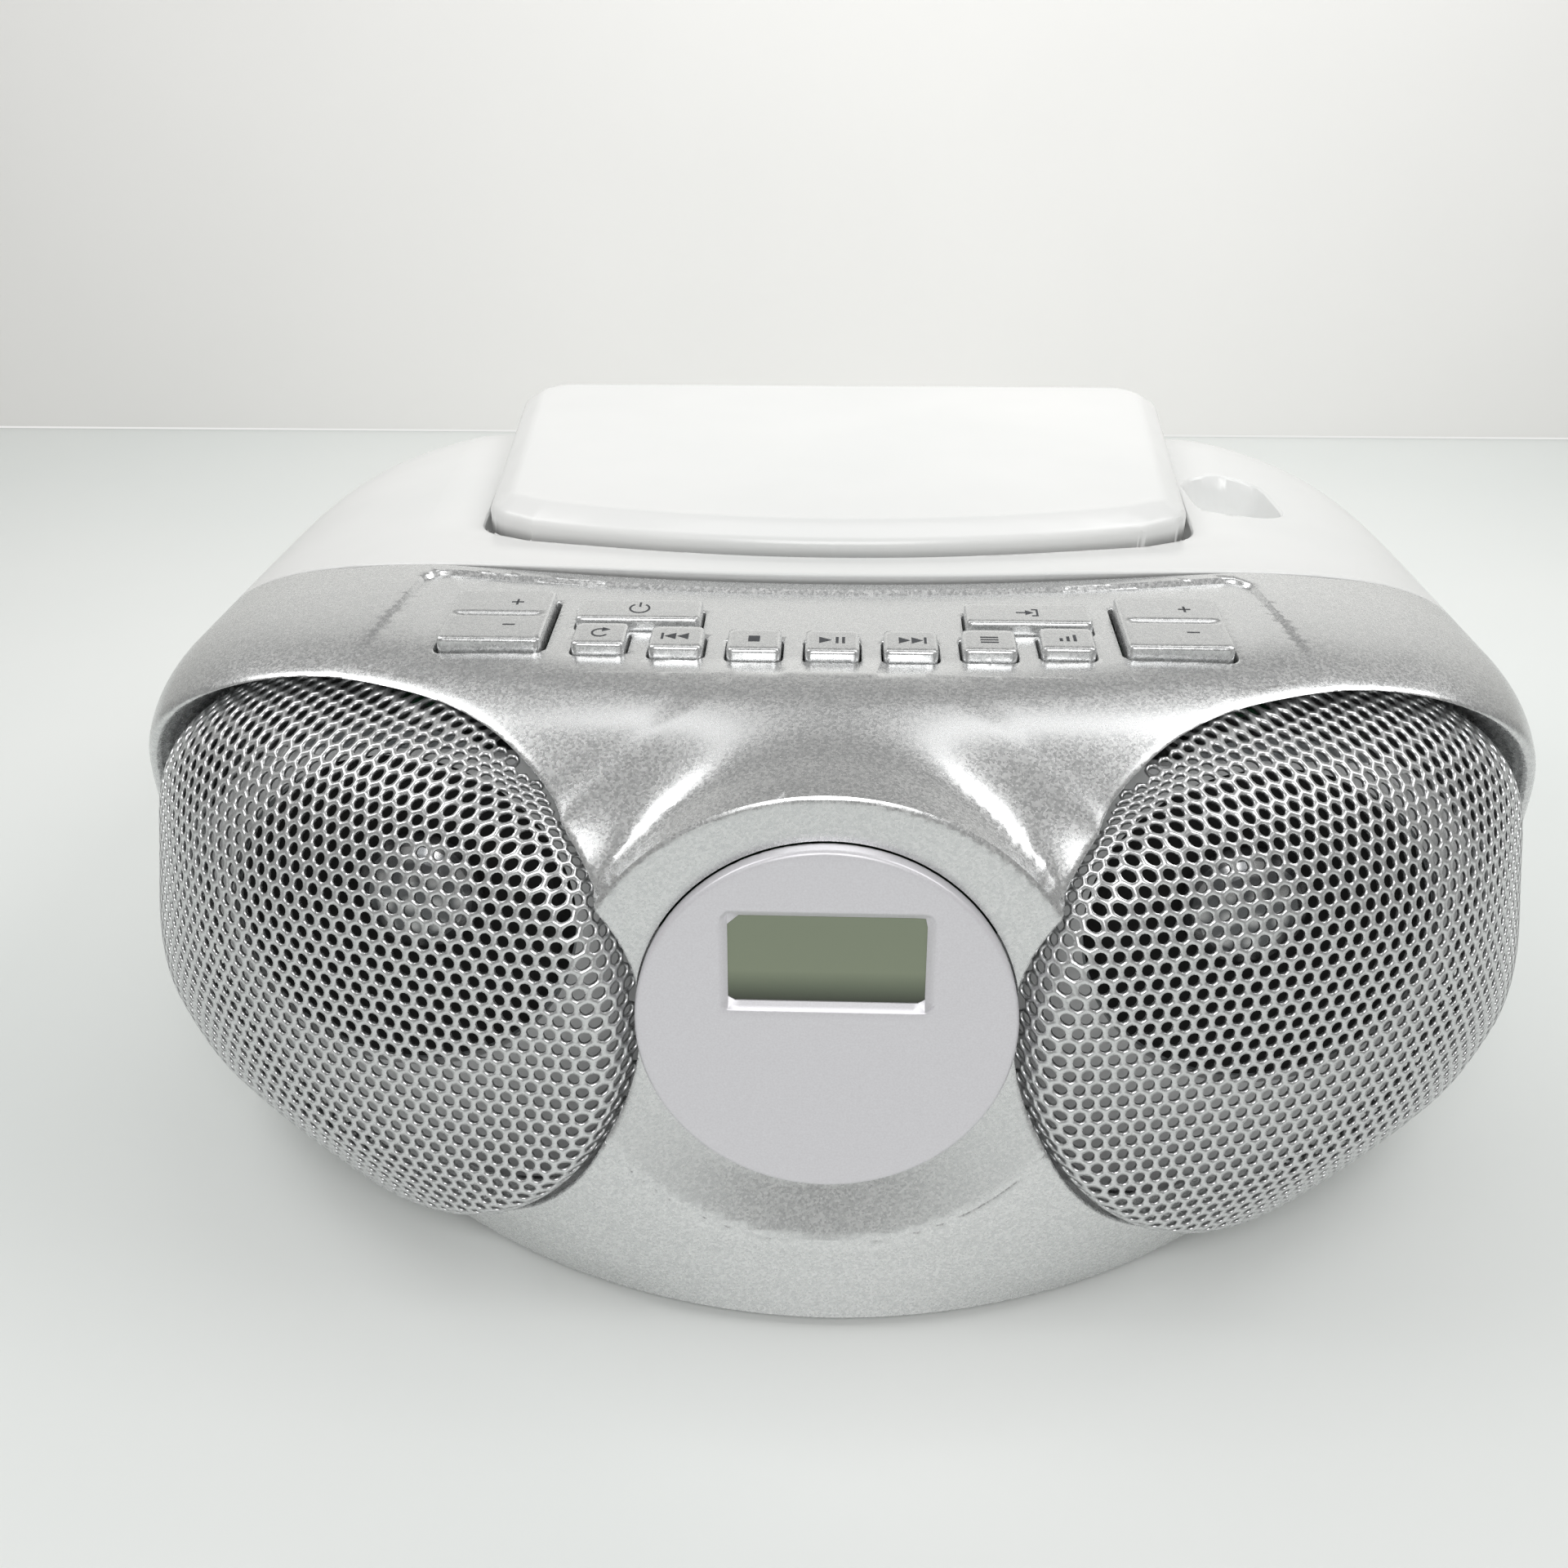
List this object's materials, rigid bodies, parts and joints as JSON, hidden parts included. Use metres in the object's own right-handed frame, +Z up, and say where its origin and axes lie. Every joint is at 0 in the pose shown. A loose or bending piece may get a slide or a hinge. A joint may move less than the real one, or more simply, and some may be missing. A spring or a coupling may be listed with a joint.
{
  "type": "portable cd radio",
  "caption": "Portable CD radio with rounded silver front, perforated speaker grilles, round display panel, key strip and white top-loading disc lid.",
  "frame": {"origin": "on the floor under the middle of the whole box", "axes": "+X right as seen from the front, +Y towards the back, +Z up"},
  "size_m": [0.2946, 0.2494, 0.1187],
  "materials": {
    "silver_abs": "satin",
    "pearl_abs": "satin",
    "clear_plate": "polished",
    "lcd_glass": "matte",
    "perforated_steel": "satin",
    "grey_abs": "matte",
    "stamped_steel": "satin",
    "paper_cone": "matte",
    "dust_cap": "satin",
    "ferrite": "matte",
    "white_abs": "gloss",
    "steel_pin": "satin",
    "black_abs": "satin",
    "black_rubber": "matte",
    "circuit_board": "satin",
    "spring_brass": "satin",
    "chrome_tube": "polished"
  },
  "bodies": {
    "cabinet": {"front_bezel": "silver_abs", "display_panel": "pearl_abs", "lcd_window": "clear_plate", "lcd_module": "lcd_glass", "left_grille": "perforated_steel", "right_grille": "perforated_steel", "left_baffle": "grey_abs", "right_baffle": "grey_abs", "left_speaker_frame": "stamped_steel", "right_speaker_frame": "stamped_steel", "left_speaker_cone": "paper_cone", "right_speaker_cone": "paper_cone", "left_dust_cap": "dust_cap", "right_dust_cap": "dust_cap", "left_speaker_magnet": "ferrite", "right_speaker_magnet": "ferrite", "rocker_saddles": "white_abs", "key_board": "circuit_board", "top_deck": "white_abs", "rear_cabinet": "white_abs", "lid_hinge_brackets": "white_abs", "lid_hinge_pins": "steel_pin", "spindle_motor": "stamped_steel", "mechanism_chassis": "grey_abs", "pickup_guide_rods": "steel_pin", "sled_motor": "stamped_steel", "rubber_dampers": "black_rubber", "main_board": "circuit_board", "transformer": "stamped_steel", "mains_inlet": "black_abs", "aux_jack": "black_abs", "headphone_jack": "black_abs", "battery_contacts": "spring_brass", "aerial_base": "white_abs", "rubber_feet": "black_rubber", "cabinet_screws": "steel_pin", "speaker_screws": "steel_pin"},
    "power_key_body": {"power_key": "silver_abs"},
    "source_key_body": {"source_key": "silver_abs"},
    "mode_key_body": {"mode_key": "silver_abs"},
    "previous_key_body": {"previous_key": "silver_abs"},
    "stop_key_body": {"stop_key": "silver_abs"},
    "play_pause_key_body": {"play_pause_key": "silver_abs"},
    "next_key_body": {"next_key": "silver_abs"},
    "program_key_body": {"program_key": "silver_abs"},
    "bass_boost_key_body": {"bass_boost_key": "silver_abs"},
    "preset_rocker_body": {"preset_rocker": "silver_abs"},
    "volume_rocker_body": {"volume_rocker": "silver_abs"},
    "lid": {"cd_lid": "white_abs", "lid_hinge_arms": "white_abs"},
    "turntable": {"turntable_hub": "black_abs"},
    "pickup": {"laser_pickup": "black_abs"},
    "reduction_gear": {"sled_gear": "white_abs"},
    "pinion": {"sled_pinion": "white_abs"},
    "battery_cover": {"battery_door": "white_abs"},
    "aerial_swivel": {"aerial_knuckle": "chrome_tube"},
    "aerial_outer": {"aerial_tube": "chrome_tube"},
    "aerial_mid": {"aerial_mid_section": "chrome_tube"},
    "aerial_tip": {"aerial_tip_section": "chrome_tube"}
  },
  "joints": [
    {"name": "power_press", "type": "slide", "parent": "cabinet", "child": "power_key_body", "axis": [0, 0.0506, -0.9987], "range_m": [0, 0.001], "stiffness_N_per_m": 300},
    {"name": "source_press", "type": "slide", "parent": "cabinet", "child": "source_key_body", "axis": [0, 0.0506, -0.9987], "range_m": [0, 0.001], "stiffness_N_per_m": 300},
    {"name": "mode_press", "type": "slide", "parent": "cabinet", "child": "mode_key_body", "axis": [0, 0.0506, -0.9987], "range_m": [0, 0.001], "stiffness_N_per_m": 300},
    {"name": "previous_press", "type": "slide", "parent": "cabinet", "child": "previous_key_body", "axis": [0, 0.0506, -0.9987], "range_m": [0, 0.001], "stiffness_N_per_m": 300},
    {"name": "stop_press", "type": "slide", "parent": "cabinet", "child": "stop_key_body", "axis": [0, 0.0506, -0.9987], "range_m": [0, 0.001], "stiffness_N_per_m": 300},
    {"name": "play_pause_press", "type": "slide", "parent": "cabinet", "child": "play_pause_key_body", "axis": [0, 0.0506, -0.9987], "range_m": [0, 0.001], "stiffness_N_per_m": 300},
    {"name": "next_press", "type": "slide", "parent": "cabinet", "child": "next_key_body", "axis": [0, 0.0506, -0.9987], "range_m": [0, 0.001], "stiffness_N_per_m": 300},
    {"name": "program_press", "type": "slide", "parent": "cabinet", "child": "program_key_body", "axis": [0, 0.0506, -0.9987], "range_m": [0, 0.001], "stiffness_N_per_m": 300},
    {"name": "bass_boost_press", "type": "slide", "parent": "cabinet", "child": "bass_boost_key_body", "axis": [0, 0.0506, -0.9987], "range_m": [0, 0.001], "stiffness_N_per_m": 300},
    {"name": "preset_rocker_tilt", "type": "hinge", "parent": "cabinet", "child": "preset_rocker_body", "pos_m": [-0.0655, -0.0519, 0.1058], "axis": [1, 0, 0], "range_deg": [-3, 3], "stiffness_Nm_per_rad": 1},
    {"name": "volume_rocker_tilt", "type": "hinge", "parent": "cabinet", "child": "volume_rocker_body", "pos_m": [0.0655, -0.0519, 0.1058], "axis": [1, 0, 0], "range_deg": [-3, 3], "stiffness_Nm_per_rad": 1},
    {"name": "lid_hinge", "type": "hinge", "parent": "cabinet", "child": "lid", "pos_m": [0, 0.1158, 0.099], "axis": [-1, 0, 0], "range_deg": [0, 70]},
    {"name": "turntable_spin", "type": "hinge", "parent": "cabinet", "child": "turntable", "pos_m": [0, 0.0508, 0.1035], "axis": [0, 0, 1], "continuous": true},
    {"name": "pickup_slide", "type": "slide", "parent": "cabinet", "child": "pickup", "axis": [0, -1, 0], "range_m": [0, 0.033]},
    {"name": "reduction_gear_spin", "type": "hinge", "parent": "cabinet", "child": "reduction_gear", "pos_m": [0.02455, 0.0098, 0.0975], "axis": [0, 0, 1], "range_deg": [0, 315.18]},
    {"name": "pinion_spin", "type": "hinge", "parent": "cabinet", "child": "pinion", "pos_m": [0.0338, 0.0098, 0.0975], "axis": [0, 0, -1], "range_deg": [0, 1134.51]},
    {"name": "battery_door_slide", "type": "slide", "parent": "cabinet", "child": "battery_cover", "axis": [0, 1, 0], "range_m": [0, 0.012]},
    {"name": "aerial_turn", "type": "hinge", "parent": "cabinet", "child": "aerial_swivel", "pos_m": [0.098, 0.1215, 0.0895], "axis": [0, 1, 0], "range_deg": [0, 180]},
    {"name": "aerial_tilt", "type": "hinge", "parent": "aerial_swivel", "child": "aerial_outer", "pos_m": [0.098, 0.1215, 0.0895], "axis": [0, 0, -1], "range_deg": [0, 90]},
    {"name": "aerial_mid_slide", "type": "slide", "parent": "aerial_outer", "child": "aerial_mid", "axis": [-1, 0, 0], "range_m": [0, 0.1301]},
    {"name": "aerial_tip_slide", "type": "slide", "parent": "aerial_outer", "child": "aerial_tip", "axis": [-1, 0, 0], "range_m": [0, 0.26]}
  ],
  "couplings": [
    {"joint": "reduction_gear_spin", "follows": "pickup_slide", "rad_per_m": 166.67},
    {"joint": "pinion_spin", "follows": "pickup_slide", "rad_per_m": 600},
    {"joint": "aerial_mid_slide", "follows": "aerial_tip_slide", "ratio": 0.5}
  ]
}
